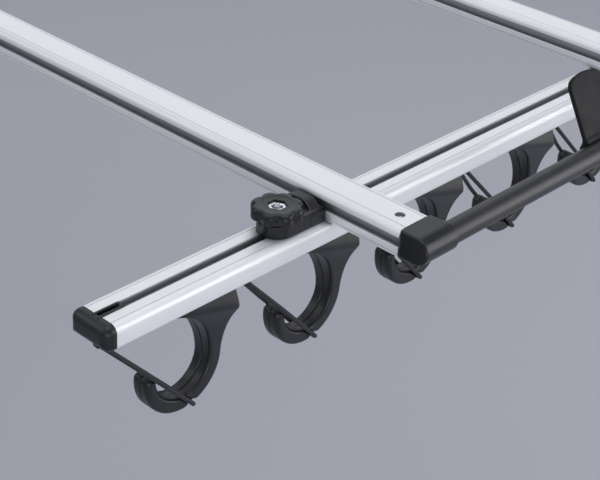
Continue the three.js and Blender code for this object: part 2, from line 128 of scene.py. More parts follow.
def studio():
    """Soft light from all round, over a wide matte floor 0.7 m below the rack."""
    scene = bpy.context.scene
    scene.view_settings.view_transform = "Standard"
    world = bpy.data.worlds.new("studio")
    world.use_nodes = True
    background = world.node_tree.nodes["Background"]
    background.inputs["Color"].default_value = (0.80, 0.84, 0.93, 1)
    background.inputs["Strength"].default_value = 0.42
    scene.world = world
    softbox("back_softbox", (0.64, 0.57, 0.55), 3.2, (3.4, 2.6), 14)
    softbox("top_softbox", (-0.05, -0.1, 1.0), 3.0, (3.0, 3.0), 30)
    softbox("front_softbox", (0.62, -0.78, 0.20), 3.0, (2.6, 1.5), 27)
    softbox("side_softbox", (-0.62, 0.50, 0.62), 3.0, (1.8, 1.4), 8)
    softbox("low_left_softbox", (-0.50, -0.82, -0.04), 3.0, (2.2, 0.9), 12)
    softbox("low_right_softbox", (0.64, -0.76, -0.08), 3.0, (1.8, 0.9), 6)
    half, drop = 30.0, 0.7
    low = cad_box[0].z - drop
    mesh = bpy.data.meshes.new("floor")
    corners = [(-half, -half, low), (half, -half, low), (half, half, low), (-half, half, low)]
    mesh.from_pydata(corners, [], [(0, 1, 2, 3)])
    floor = bpy.data.objects.new("floor", mesh)
    scene.collection.objects.link(floor)
    paint = bpy.data.materials.new("floor_paper")
    paint.use_nodes = True
    shader = paint.node_tree.nodes["Principled BSDF"]
    shader.inputs["Base Color"].default_value = (0.475, 0.478, 0.53, 1)
    shader.inputs["Roughness"].default_value = 0.9
    shader.inputs["Specular IOR Level"].default_value = 0.1
    mesh.materials.append(paint)


# ---- materials ----
class Shader:
    """A Principled material with short calls for the procedural nodes that feed it."""

    def __init__(self, name, roughness, metallic=0.0, **sockets):
        self.material = bpy.data.materials.new(name)
        self.material.use_nodes = True
        self.tree = self.material.node_tree
        self.principled = self.tree.nodes["Principled BSDF"]
        self.principled.inputs["Roughness"].default_value = roughness
        self.principled.inputs["Metallic"].default_value = metallic
        for socket, value in sockets.items():
            self.principled.inputs[socket.replace("_", " ")].default_value = value
        self.place = self.tree.nodes.new("ShaderNodeTexCoord").outputs["Object"]

    def noise(self, scale, stretch=(1, 1, 1), detail=3.0, roughness=0.55):
        """Noise with about `scale` features in a metre, drawn out along an axis by a small stretch there."""
        mapping = self.tree.nodes.new("ShaderNodeMapping")
        mapping.inputs["Scale"].default_value = stretch
        self.tree.links.new(self.place, mapping.inputs["Vector"])
        texture = self.tree.nodes.new("ShaderNodeTexNoise")
        texture.inputs["Scale"].default_value = scale
        texture.inputs["Detail"].default_value = detail
        texture.inputs["Roughness"].default_value = roughness
        self.tree.links.new(mapping.outputs["Vector"], texture.inputs["Vector"])
        return texture.outputs["Fac"]

    def span(self, value, low, high, span=(0.3, 0.7)):
        """Maps a texture value onto a range of numbers."""
        node = self.tree.nodes.new("ShaderNodeMapRange")
        node.inputs["From Min"].default_value, node.inputs["From Max"].default_value = span
        node.inputs["To Min"].default_value, node.inputs["To Max"].default_value = low, high
        self.tree.links.new(value, node.inputs["Value"])
        return node.outputs["Result"]

    def colours(self, value, dark, light, span=(0.3, 0.7)):
        """Mixes two colours by a texture value."""
        ramp = self.tree.nodes.new("ShaderNodeValToRGB")
        for element, place, colour in zip(ramp.color_ramp.elements, span, (dark, light)):
            element.position = place
            element.color = (*colour, 1)
        self.tree.links.new(value, ramp.inputs["Fac"])
        return ramp.outputs["Color"]

    def worn(self, colour, edge, amount):
        """Lightens convex edges, broken up by noise."""
        geometry = self.tree.nodes.new("ShaderNodeNewGeometry")
        sharp = self.span(geometry.outputs["Pointiness"], 0.0, amount, (0.53, 0.60))
        patchy = self.span(self.noise(90.0), 0.35, 1.0)
        times = self.tree.nodes.new("ShaderNodeMath")
        times.operation = "MULTIPLY"
        self.tree.links.new(sharp, times.inputs[0])
        self.tree.links.new(patchy, times.inputs[1])
        mix = self.tree.nodes.new("ShaderNodeMix")
        mix.data_type = "RGBA"
        self.tree.links.new(times.outputs[0], mix.inputs[0])
        self.tree.links.new(colour, mix.inputs[6])
        mix.inputs[7].default_value = (*edge, 1)
        return mix.outputs[2]

    def painted_crevice_shade(self, colour, reach):
        """Painted shade: darkens the colour in slots, holes and corners, where ambient occlusion finds nearby
        surfaces.
        """
        shade = self.tree.nodes.new("ShaderNodeAmbientOcclusion")
        shade.inputs["Distance"].default_value = reach
        self.tree.links.new(colour, shade.inputs["Color"])
        darker = self.span(shade.outputs["AO"], 0.0, 1.0, (0.42, 0.93))
        mix = self.tree.nodes.new("ShaderNodeMix")
        mix.data_type = "RGBA"
        # colour of the deepest painted shade in the slots and holes
        mix.inputs[6].default_value = (0.30, 0.32, 0.33, 1)
        self.tree.links.new(darker, mix.inputs[0])
        self.tree.links.new(colour, mix.inputs[7])
        return mix.outputs[2]

    def bump(self, *layers):
        """Stacks bump layers, each a texture value and its height in millimetres."""
        previous = None
        for value, height in layers:
            node = self.tree.nodes.new("ShaderNodeBump")
            node.inputs["Strength"].default_value = 1.0
            node.inputs["Distance"].default_value = height * MM
            self.tree.links.new(value, node.inputs["Height"])
            if previous is not None:
                self.tree.links.new(previous, node.inputs["Normal"])
            previous = node.outputs["Normal"]
        self.link(previous, "Normal")

    def link(self, value, socket):
        """Feeds one of the material's own sockets."""
        self.tree.links.new(value, self.principled.inputs[socket])


def satin_aluminium(name, along):
    """Anodised extrusion: die lines along its length, a fine etched grain and faint cloudiness."""
    stretch = (0.02, 1, 1) if along == "x" else (1, 0.02, 1)
    shader = Shader(name, 0.42, metallic=0.34, Specular_IOR_Level=0.5)
    lines = shader.noise(1400.0, stretch, detail=4.0, roughness=0.7)
    broad = shader.noise(160.0, stretch, detail=2.0)
    etched = shader.noise(5200.0, detail=2.0)
    cloud = shader.noise(9.0, detail=3.0)
    metal = shader.colours(cloud, (0.945, 0.95, 0.965), (0.975, 0.98, 0.99))
    # painted shade: slots, holes and corners are darkened in the base colour
    shader.link(shader.painted_crevice_shade(metal, 0.010), "Base Color")
    shader.link(shader.span(broad, 0.38, 0.46), "Roughness")
    shader.bump((broad, 0.006), (lines, 0.010), (etched, 0.004))
    return shader.material


def moulded_plastic(name, colour, light, roughness, grain, edge=(0.16, 0.165, 0.18), sheen=0.5):
    """Injection-moulded black plastic: spark-eroded grain, slow waviness and slightly rubbed edges."""
    shader = Shader(name, roughness, Specular_IOR_Level=sheen)
    fine = shader.noise(2600.0, detail=3.0, roughness=0.6)
    slow = shader.noise(45.0, detail=2.0)
    shader.link(shader.worn(shader.colours(slow, colour, light), edge, 0.35), "Base Color")
    shader.link(shader.span(slow, roughness - 0.04, roughness + 0.05), "Roughness")
    shader.bump((slow, 0.05), (fine, grain))
    return shader.material


def coated_tube(name):
    """Powder-coated steel tube: fine orange peel under a satin gloss."""
    shader = Shader(name, 0.42, Specular_IOR_Level=0.55, Coat_Weight=0.15, Coat_Roughness=0.35)
    peel = shader.noise(420.0, detail=2.0)
    speck = shader.noise(3000.0, detail=2.0)
    paint = shader.colours(speck, (0.005, 0.005, 0.007), (0.010, 0.010, 0.013))
    shader.link(shader.worn(paint, (0.1, 0.1, 0.11), 0.2), "Base Color")
    shader.link(shader.span(peel, 0.40, 0.46), "Roughness")
    shader.bump((peel, 0.004), (speck, 0.001))
    return shader.material


def soft_rubber(name, colour, light, roughness, ribs):
    """Rubber: dull, slightly dusty, with a fine pebbled skin."""
    shader = Shader(name, roughness, Specular_IOR_Level=0.25, Sheen_Weight=0.03, Sheen_Roughness=0.6)
    dust = shader.noise(70.0, detail=4.0)
    skin = shader.noise(1800.0, detail=4.0, roughness=0.65)
    shader.link(shader.colours(dust, colour, light), "Base Color")
    shader.link(shader.span(dust, roughness - 0.05, roughness + 0.08), "Roughness")
    shader.bump((dust, 0.02), (skin, ribs))
    return shader.material


def bright_steel(name):
    """Zinc-plated fastener: turned rings and a faint haze."""
    shader = Shader(name, 0.18, metallic=1.0)
    haze = shader.noise(260.0, detail=3.0)
    turned = shader.noise(1500.0, (1, 1, 0.1), detail=3.0)
    shader.link(shader.colours(haze, (0.78, 0.80, 0.82), (0.93, 0.94, 0.95)), "Base Color")
    shader.link(shader.span(haze, 0.14, 0.26), "Roughness")
    shader.bump((turned, 0.006))
    return shader.material


LOOKS = {
    "rail": satin_aluminium("satin_aluminium_rail", "x"),
    "bar": satin_aluminium("satin_aluminium_bar", "y"),
    "steel": bright_steel("bright_steel"),
    "gloss": moulded_plastic("gloss_plastic", (0.008, 0.0085, 0.010), (0.014, 0.0145, 0.017), 0.29, 0.005),
    "matte": moulded_plastic("matte_plastic", (0.008, 0.0085, 0.0100), (0.014, 0.0148, 0.0170), 0.36, 0.010),
    "tube": coated_tube("black_tube"),
    "rubber": soft_rubber("black_rubber", (0.004, 0.004, 0.005), (0.008, 0.008, 0.009), 0.6, 0.012),
    "band": soft_rubber("band_rubber", (0.020, 0.020, 0.023), (0.034, 0.034, 0.038), 0.5, 0.02),
}


# ---- meshes ----
def as_mesh(name, vertices, faces, sharp=SHARP):
    """A mesh in metres from millimetre vertices, smooth apart from edges sharper than an angle."""
    mesh = bpy.data.meshes.new(name)
    corners = (np.asarray(vertices, float) * MM).tolist()
    mesh.from_pydata(corners, [], [list(map(int, face)) for face in faces])
    mesh.validate()
    mesh.shade_smooth()
    mesh.set_sharp_from_angle(angle=math.radians(sharp))
    return mesh


def skin(rings, loop=False):
    """Vertices and faces of a surface through rings of equally many points.

    The first and last ring are closed with a face, or joined to each other where loop is set.
    """
    rings = np.asarray(rings, float)
    count, around = rings.shape[:2]
    faces = []
    for ring in range(count if loop else count - 1):
        here, there = ring * around, (ring + 1) % count * around
        for i in range(around):
            j = (i + 1) % around
            faces.append((here + i, here + j, there + j, there + i))
    if not loop:
        faces.append(range(around - 1, -1, -1))
        faces.append(range((count - 1) * around, count * around))
    return rings.reshape(-1, 3), faces


def arc(centre, radius, start, end, steps):
    """Points of an arc, in degrees, both ends included."""
    angles = np.radians(np.linspace(start, end, steps + 1))
    return [(centre[0] + radius * math.cos(a), centre[1] + radius * math.sin(a)) for a in angles]


def combine(mesh, operation, *others):
    """Joins meshes to a mesh, or cuts them from it, and returns the result as a new mesh."""
    obj = bpy.data.objects.new("combined", mesh)
    bpy.context.scene.collection.objects.link(obj)
    tools = []
    for other in others:
        tool = bpy.data.objects.new("tool", other)
        bpy.context.scene.collection.objects.link(tool)
        modifier = obj.modifiers.new("boolean", "BOOLEAN")
        modifier.operation = operation
        modifier.object = tool
        modifier.solver = "EXACT"
        tools.append(tool)
    graph = bpy.context.evaluated_depsgraph_get()
    result = bpy.data.meshes.new_from_object(obj.evaluated_get(graph))
    for used in (obj, *tools):
        bpy.data.objects.remove(used)
    result.name = mesh.name
    result.materials.clear()
    result.shade_smooth()
    result.set_sharp_from_angle(angle=math.radians(SHARP))
    return result


def mirrored(mesh, x, y):
    """A copy of a mesh turned over in x and y where they are -1."""
    copy = mesh.copy()
    copy.transform(Matrix.Diagonal((x, y, 1, 1)))
    if x * y < 0:
        copy.flip_normals()
    return copy


def place(node, kind, mesh, look, at, body, mirror=(1, 1)):
    """Puts a piece at a point in metres, on its body, in place of its CAD node, which it is named after."""
    shown = mesh if mirror == (1, 1) else mirrored(mesh, *mirror)
    obj = bpy.data.objects.new(f"{node}_{kind}", shown)
    if not shown.materials:
        shown.materials.append(LOOKS[look])
    obj.location = at
    bpy.context.scene.collection.objects.link(obj)
    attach(obj, body)
    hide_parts(node)


def solid_prism(outline, axis, low, high):
    """Vertices and faces of an outline (counter-clockwise) carried along x, y or z."""
    spot = "xyz".index(axis)
    ends = (high, low) if axis == "y" else (low, high)
    return skin([[(*point[:spot], c, *point[spot:]) for point in outline] for c in ends])


def rod(radius, axis, low, high, at, sides=48):
    """A plain cylinder, used for cutting."""
    return solid_prism(arc(at, radius, 0, 360 - 360 / sides, sides - 1), axis, low, high)


# ---- shapes round an upright axis ----
AROUND = np.linspace(0, 2 * math.pi, 193)[:-1]


def circle(radius):
    """Radii of a circle, one for each direction in AROUND."""
    return np.full(AROUND.shape, float(radius))


def hexagon(across):
    """Radii of a hexagon, from its width across the flats."""
    return across / 2 / np.cos(AROUND % (math.pi / 3) - math.pi / 6)


def turned(name, profile, at=(0, 0), loop=False):
    """A mesh through outlines stacked about a point in plan, each given by its radii and its height."""
    rings = []
    for radii, z in profile:
        x, y = at[0] + radii * np.cos(AROUND), at[1] + radii * np.sin(AROUND)
        rings.append(np.stack([x, y, np.full(AROUND.shape, float(z))], 1))
    return as_mesh(name, *skin(rings, loop))


# ---- surfaces from distance functions ----
def moulded(name, distance, low, high, cell):
    """The zero surface of a distance function, as a smooth mesh of quads.

    Each grid cell that the surface crosses has one vertex, at the middle of the crossings on its edges.
    Three short steps down the slope of the distance then draw it onto the surface.
    """
    axes = [np.arange(a - 2 * cell, b + 3 * cell, cell) for a, b in zip(low, high)]
    values = distance(*np.meshgrid(*axes, indexing="ij"))
    inside = values < 0
    cells = np.array(values.shape) - 1

    def corner(grid, offset):
        return grid[tuple(slice(o, o + n) for o, n in zip(offset, cells))]

    total = np.zeros((*cells, 3))
    crossings = np.zeros(cells)
    for axis in range(3):
        step = np.eye(3, dtype=int)[axis]
        for offset in np.ndindex(2, 2, 2):
            if offset[axis]:
                continue
            start, end = corner(values, offset), corner(values, np.add(offset, step))
            crossed = (start < 0) != (end < 0)
            share = np.where(crossed, start / np.where(crossed, start - end, 1), 0)
            total += crossed[..., None] * np.array(offset) + share[..., None] * step
            crossings += crossed
    used = crossings > 0
    index = np.full(cells, -1)
    index[used] = np.arange(used.sum())
    origin = np.stack([axes[i][:-1][k] for i, k in enumerate(np.nonzero(used))], 1)
    points = origin + total[used] / crossings[used][:, None] * cell
    faces = []
    for axis in range(3):
        a, b = (axis + 1) % 3, (axis + 2) % 3
        step = np.eye(3, dtype=int)
        where = np.moveaxis(inside, axis, 0)
        flips = np.moveaxis(where[:-1] != where[1:], 0, axis)
        found = np.argwhere(flips)
        found = found[(found[:, a] > 0) & (found[:, b] > 0)]
        ring = [found - step[a] - step[b], found - step[b], found, found - step[a]]
        quads = np.stack([index[tuple(r.T)] for r in ring], 1)
        outward = inside[tuple(found.T)]
        faces.append(np.where(outward[:, None], quads, quads[:, ::-1]))
    probe = 0.05 * cell
    for _ in range(3):
        here = distance(*points.T)
        slope = np.stack([(distance(*(points + probe * e).T) - here) / probe for e in np.eye(3)], 1)
        steep = np.maximum((slope ** 2).sum(1), 0.25)
        points = points - np.clip(here, -cell, cell)[:, None] * slope / steep[:, None] * 0.8
    return as_mesh(name, points, np.concatenate(faces), sharp=40)


def slab(value, low, high):
    """Signed distance to the space between two parallel planes."""
    return np.maximum(low - value, value - high)


def meet(first, second, radius):
    """Where two solids overlap, with the edge between them rounded."""
    a, b = first + radius, second + radius
    return np.hypot(np.maximum(a, 0), np.maximum(b, 0)) + np.minimum(np.maximum(a, b), 0) - radius


def merge(first, second, radius):
    """Two solids in one, with a fillet of that radius between them."""
    h = np.maximum(radius - np.abs(first - second), 0) / radius
    return np.minimum(first, second) - h * h * radius / 4


def block(x, y, z, spans, radius):
    """A box with rounded edges."""
    walls = [slab(v, *span) + radius for v, span in zip((x, y, z), spans)]
    outside = np.sqrt(sum(np.maximum(w, 0) ** 2 for w in walls))
    return outside + np.minimum(np.maximum.reduce(walls), 0) - radius


# ---- extrusions ----
def slot_run(at, travel):
    """Points along a T-slot, from one lip to the other, with ribs on its floor."""
    inward = (-travel[1], travel[0])
    mouth, width = SLOT["mouth"] / 2, SLOT["width"] / 2
    edge, lip, depth = SLOT["round"], SLOT["lip"], SLOT["depth"]
    half = arc((-mouth - edge, edge), edge, 270, 360, 3) + [(-mouth, lip), (-width, lip), (-width, depth)]
    ribs = np.linspace(-width + 1, width - 1, 2 * SLOT["ribs"] + 1)
    floor = [(s, depth - (SLOT["rib"] if i % 2 else 0)) for i, s in enumerate(ribs)]
    run = half + floor + [(-s, d) for s, d in reversed(half)]
    return [(at[0] + travel[0] * s + inward[0] * d, at[1] + travel[1] * s + inward[1] * d) for s, d in run]


def fine_line(at, travel):
    """A shallow groove along an extrusion's face."""
    inward = (-travel[1], travel[0])
    half, depth = LINE["half"], LINE["depth"]
    return [(at[0] + travel[0] * s + inward[0] * d, at[1] + travel[1] * s + inward[1] * d)
            for s, d in ((-half, 0), (-half / 2, depth), (half / 2, depth), (half, 0))]


def bar_section():
    """Outline of a bar across its length, standing on z = 0."""
    side, top = BAR["width"] / 2, BAR["height"]
    shoulder, foot = BAR["shoulder"], BAR["foot"]
    half = arc((side - foot, foot), foot, 270, 360, 4)
    half += fine_line((side, BAR["side_line"]), (0, 1))
    half += slot_run((side, BAR["slot"]), (0, 1))
    half += arc((side - shoulder, top - shoulder), shoulder, 2, 90, 12)
    half += fine_line((BAR["line"], top), (-1, 0))
    return half + [(-a, b) for a, b in reversed(half)]


def rail_section():
    """Outline of a rail across its length, hanging from z = 0."""
    side, low = RAIL["width"] / 2, -RAIL["height"]
    shoulder, foot = RAIL["shoulder"], RAIL["foot"]
    half = arc((side - foot, low + foot), foot, 270, 360, 8)
    half += arc((side - shoulder, -shoulder), shoulder, 0, 90, 12)
    half += fine_line((RAIL["line"], 0), (-1, 0))
    left = [(-a, b) for a, b in reversed(half)]
    return half + slot_run((0, 0), (-1, 0)) + left + slot_run((0, low), (1, 0))


def bar_mesh(length):
    """Slotted bar with a pocket for a joint's tongue in each end, and a chamfered screw hole above it."""
    half, top, middle = length / 2, BAR["height"], BAR["height"] / 2
    body = as_mesh("bar", *solid_prism(bar_section(), "y", -half, half))
    across, rise = TONGUE["half_width"] + GAP, TONGUE["height"] / 2 + GAP
    low, high, spare = middle - rise, middle + rise, 2.0
    pocket = [(-across, low), (across, low), (across, high), (-across, high)]
    hole, chamfer, over = SCREW["hole"], SCREW["chamfer"], 0.55
    bore = ((hole, middle), (hole, top + over - chamfer), (hole + chamfer, top + over))
    cuts = []
    for end in (-1, 1):
        span = sorted((end * (half - TONGUE["length"] - spare), end * (half + 1)))
        cuts.append(as_mesh("pocket", *solid_prism(pocket, "y", *span)))
        at = (0, end * (half - SCREW["from_end"]))
        rings = [[(x, y, z) for x, y in arc(at, radius, 0, 352.5, 47)] for radius, z in bore]
        cuts.append(as_mesh("hole", *skin(rings)))
    return combine(body, "DIFFERENCE", *cuts)


def rail_mesh(length):
    """Rail with a T-slot above and below."""
    return as_mesh("rail", *solid_prism(rail_section(), "x", -length / 2, length / 2))


def tube_mesh(length):
    """Open tube with softened ends."""
    outer, inner, half, soft = TUBE["radius"], TUBE["radius"] - TUBE["wall"], length / 2, 0.4
    profile = [(outer, -half + soft), (outer, half - soft), (outer - soft, half), (inner + soft, half)]
    profile += [(outer + inner - radius, -x) for radius, x in profile]
    rings = [[(x, *p) for p in arc((0, 0), radius, 0, 355, 71)] for radius, x in profile]
    return as_mesh("tube", *skin(rings, loop=True))


# ---- frame corners ----
def joint_mesh():
    """Corner joint: a D-shaped block, a socket round the tube and a tongue inside the bar.

    Drawn for the front left corner: the bar's end is y = 0, and the joint reaches to -y.
    """
    half, top = BAR["width"] / 2, BAR["height"]
    axis_y, axis_z = -TUBE["beyond_bar"], TUBE["height"]
    end = half + SOCKET["reach"]
    pad, across = (top - TONGUE["height"]) / 2, TONGUE["half_width"]
    tongue_spans = ((-across, across), (-2, TONGUE["length"]), (pad, top - pad))

    def distance(x, y, z):
        barrel = np.where(y < axis_y, np.hypot(y - axis_y, z - top / 2), np.abs(z - top / 2)) - top / 2
        body = meet(np.maximum(barrel, y + GAP), slab(x, -half, half), 1.7)
        around = np.hypot(y - axis_y, z - axis_z)
        socket = meet(around - SOCKET["radius"], slab(x, half - SOCKET["depth"], end), 1.0)
        tongue = block(x, y, z, tongue_spans, 0.8)
        play = np.where(x > end - SOCKET["ring_depth"], SOCKET["ring"], GAP)
        bore = np.maximum(around - TUBE["radius"] - play, -half + 8 - x)
        hole = np.hypot(x, y - SCREW["from_end"]) - SCREW["shank"] - GAP
        return np.maximum(np.minimum.reduce([body, socket, tongue]), -np.minimum(bore, hole))

    low = (-half, axis_y - SOCKET["radius"], -0.8)
    return moulded("corner_joint", distance, low, (end, TONGUE["length"], top + 0.8), 0.72)


def screw_mesh():
    """Countersunk socket screw, its head just inside the bar's top wall."""
    top = BAR["height"] - SCREW["below_top"]
    shoulder = (BAR["height"] + TONGUE["height"]) / 2 + GAP
    head, shank = SCREW["head"], SCREW["shank"]
    profile = [(circle(shank - 0.4), 6), (circle(shank), 6.6), (circle(shank), shoulder)]
    profile += [(circle(head - 0.2), top - 1.6), (circle(head), top - 1.3), (circle(head), top - 0.3),
                (circle(head - 0.3), top)]
    profile += [(hexagon(3.1), top), (hexagon(2.9), top - 1.5), (hexagon(0.8), top - 1.9)]
    return turned("joint_screw", profile, (0, SCREW["from_end"]))


def bracket_mesh():
    """Crowned plate leaning back over the rack, on a saddle behind the tube, whose axis is y = 0, z = 0."""
    middle = (PLATE["from"] + PLATE["to"]) / 2
    half = (PLATE["to"] - PLATE["from"]) / 2
    lean = math.radians(PLATE["lean"])
    crown = (half ** 2 + PLATE["crown"] ** 2) / (2 * PLATE["crown"])
    inner = TUBE["radius"] + GAP
    outer = inner + PLATE["saddle"]

    def distance(x, y, z):
        u, v, w = x - middle, y - PLATE["foot"][0], z - PLATE["foot"][1]
        height = v * math.sin(lean) + w * math.cos(lean)
        depth = -v * math.cos(lean) + w * math.sin(lean)
        cap = np.hypot(u, height - (PLATE["height"] + PLATE["crown"] - crown)) - crown
        face = np.maximum(meet(cap, np.abs(u) - half, 6.0), -6 - height)
        plate = meet(face, slab(depth, 0, PLATE["thickness"]), 1.3)
        radius, angle = np.hypot(y, z), np.arctan2(z, y)
        sector = slab(angle, -1.1, 0.95) * np.maximum(radius, 1)
        saddle = meet(meet(slab(radius, inner, outer), sector, 0.8), np.abs(u) - half, 0.8)
        return np.maximum(merge(plate, saddle, 3.0), inner - radius)

    return moulded("bracket", distance, (PLATE["from"], -14, -14), (PLATE["to"], 40, 62), 0.9)


# ---- rail end cap: the rail's end is x = 0, and the cap reaches to -x ----
def cap_mesh(eye):
    """Rounded cap with two prongs and a small hole in the rail's top slot, and a band's eye below."""
    half, low, spread = RAIL["width"] / 2, -RAIL["height"], CAP["spread"]

    def distance(x, y, z):
        radius = np.where(z > low / 2, RAIL["shoulder"], RAIL["foot"])
        a, b = np.abs(y) - half + radius, np.abs(z - low / 2) - half / 2 + radius
        section = np.hypot(np.maximum(a, 0), np.maximum(b, 0)) + np.minimum(np.maximum(a, b), 0) - radius
        shell = np.maximum(meet(section, -CAP["length"] - x, CAP["round"]), x + GAP)
        prongs = block(x, np.abs(y) - spread, z, ((-3, CAP["prong"]), (-1.0, 1.0), (-5, 0.8)), 0.8)
        bridge = block(x, y, z, ((-3, CAP["prong"] - 2), (-spread, spread), (-5, -2.6)), 0.3)
        plug = block(x, y, z, ((-3, 12), (-5.8, 5.8), (-6.6, -2.3)), 0.4)
        hole = np.maximum(np.hypot(x - CAP["hole_at"], y) - CAP["hole"], -4.4 - z)
        inset = np.maximum(np.minimum(bridge, plug), -hole)
        return np.minimum.reduce([shell, prongs, inset, eye(x, y, z, low - 0.6)])

    return moulded("end_cap", distance, (-CAP["length"], -half, low - 8.2), (CAP["prong"], half, 1.0), 0.48)


def eye_at(centre):
    """Distance function of the lug that a band's loop turns in, which rises from its eye to z = top."""
    def distance(x, y, z, top):
        around = np.hypot(x - centre[0], z - centre[1])
        stem = np.maximum(np.abs(x - centre[0]) - 3.2, slab(z, centre[1], top + EYE["lip"]))
        lug = np.minimum(around - BAND["radius"] - 1.0, stem)
        return np.maximum(meet(lug, np.abs(y) - EYE["half"], 0.5), BAND["radius"] + GAP - around)
    return distance


# ---- hook: two half shells that meet at y = 0, drawn about the centre of the hollow ----
SEAM = 0.18                     # from the middle plane to each shell
TIP = 0.75                      # share of the tip's slimming that is reached where its round end starts


def hook_half_thickness(x, z):
    """Half thickness of the hook: thin below, flaring in a curve to the ridge, drawn in again above it."""
    ridge, left = Vector(HOOK["ridge"]), Vector((HOOK["ridge_left"], HOOK["top"]))
    along = (ridge - left).normalized()
    below = (ridge[0] - x) * -along[1] + (ridge[1] - z) * along[0]
    share = np.clip((x - left[0]) / (ridge[0] - left[0]), 0, 1)
    flare = HOOK["flare"] + HOOK["flare_right"] * share
    lower = HOOK["half"] + flare * np.exp(-np.maximum(below, -20) / 15)
    upper = HOOK["half"] + flare + 0.275 * below
    soft = 1.5
    return -soft * np.log(np.exp(-lower / soft) + np.exp(-upper / soft))


def hook_stations():
    """Inner and outer points of the hook's outline, from the tip round to the rail.

    The third value says how near the tip is: 0 beyond 60 degrees from it, TIP where its round end starts
    and 1 at the very tip.
    """
    inner, outer, upper, slimmer = HOOK["inner"], HOOK["outer"], HOOK["upper"], HOOK["slimmer"]
    tip, middle = (outer - slimmer - inner) / 2, (outer - slimmer + inner) / 2
    stations = []
    for turn in np.radians([88, 82, 74, 64, 52, 40, 28, 16, 6]):
        reach, rise = tip * math.cos(turn), tip * math.sin(turn)
        stations.append(((-middle + reach, rise), (-middle - reach, rise), TIP + (1 - TIP) * math.sin(turn)))
    seat = math.degrees(math.atan2(BAND["end"][1], BAND["end"][0])) % 360
    for angle in np.linspace(180, 360, 61):
        turn = math.radians(angle)
        dip = SADDLE["depth"] * math.exp(-((angle - seat) / SADDLE["half_angle"]) ** 4)
        rim = outer - slimmer * max(0, 1 - (angle - 180) / 70) ** 2 - dip
        aim = np.array((math.cos(turn), math.sin(turn)))
        stations.append((inner * aim, rim * aim, TIP * max(0, 1 - (angle - 180) / 60)))
    ridge_x, ridge_z = HOOK["ridge"]
    top_angle = math.asin(HOOK["top"] / upper)
    closing = (0.7, 0.77, 0.83, 0.88, 0.92, 0.95, 0.975, 1.0)
    for share in (*np.linspace(0.06, 0.62, 8), *closing):
        turn = top_angle * share
        side = (outer + (ridge_x - outer) * share ** 1.7, ridge_z * share)
        stations.append(((inner - upper + upper * math.cos(turn), upper * math.sin(turn)), side, 0.0))
    rise = HOOK["top"] - ridge_z
    for share in (0.04, 0.09, 0.16, 0.3, 0.5, 0.7, 0.85, 1.0):
        side = (ridge_x - slimmer * share ** 1.5, ridge_z + rise * share)
        stations.append(((HOOK["ridge_left"] + 0.06 * share, HOOK["top"] - 0.02 * (1 - share)), side, 0.0))
    return stations


def hook_shell():
    """The front half shell, towards -y: a rounded section carried along the outline, closed at the seam."""
    rings = []
    for start, end, near_tip in hook_stations():
        start, end = np.array(start), np.array(end)
        width = np.linalg.norm(end - start)
        along = (end - start) / width
        edge = min(2.9 + 2.4 * near_tip, 0.46 * width)
        bevel = min(0.55, 0.2 * width)
        sunk = 3.6 * (max(0, near_tip - TIP) / (1 - TIP)) ** 2

        def depth(s):
            return float(hook_half_thickness(*(start + along * s))) - sunk

        first, last = depth(edge), depth(width - edge)
        section = [(bevel, SEAM), (0, SEAM + bevel), (0, (first - edge) / 2)]
        section += [(edge + a, first - edge + b) for a, b in arc((0, 0), edge, 180, 90, 6)]
        section += [(s, depth(s)) for s in np.linspace(edge, width - edge, 17)[1:-1]]
        section += [(width - edge + a, last - edge + b) for a, b in arc((0, 0), edge, 90, 0, 6)]
        section += [(width, (last - edge) / 2), (width, SEAM + bevel), (width - bevel, SEAM)]
        rings.append([(start[0] + along[0] * s, -d, start[1] + along[1] * s) for s, d in section])
    vertices, faces = skin(rings)
    return as_mesh("hook", vertices, [face[::-1] for face in faces])


def hook_mesh():
    """The front half shell with its foot in the rail's slot, the next band's eye and a seat for its own."""
    top = HOOK["top"] + GAP
    neck, toe, lip = -3.7, -6.0, top + 2.1
    foot = [(neck, top - 1.5), (-SEAM, top - 1.5), (-SEAM, top + 6), (toe, top + 6), (toe, lip), (neck, lip)]
    x, z = HOOK["pitch"] + BAND["anchor"][0], BAND["anchor"][1]
    outer = BAND["radius"] + EYE["wall"]
    lug = arc((x, z), outer, 180, 270, 8) + arc((x, z), outer, 280, 360, 8)
    lug += [(x + outer, top - EYE["lip"]), (41, top - EYE["lip"]), (41, z - 1)]
    added = [as_mesh("foot", *solid_prism(foot, "x", 2, 33)),
             as_mesh("lug", *solid_prism(lug, "y", -EYE["half"], -SEAM))]
    anchor, tip = Vector(BAND["anchor"]), Vector(BAND["end"])
    along = (tip - anchor).normalized()
    across = Vector((-along[1], along[0]))
    seat = [tip + along * a + across * b for a, b in ((-24, -2.6), (9, -2.6), (9, 2.6), (-24, 2.6))]
    cuts = [as_mesh("eye", *rod(BAND["radius"] + GAP, "y", -3, 1, (x, z))),
            as_mesh("seat", *solid_prism(seat, "y", -HOOK["half"] - 2, -HOOK["half"] + 1.3))]
    return combine(combine(hook_shell(), "UNION", *added), "DIFFERENCE", *cuts)


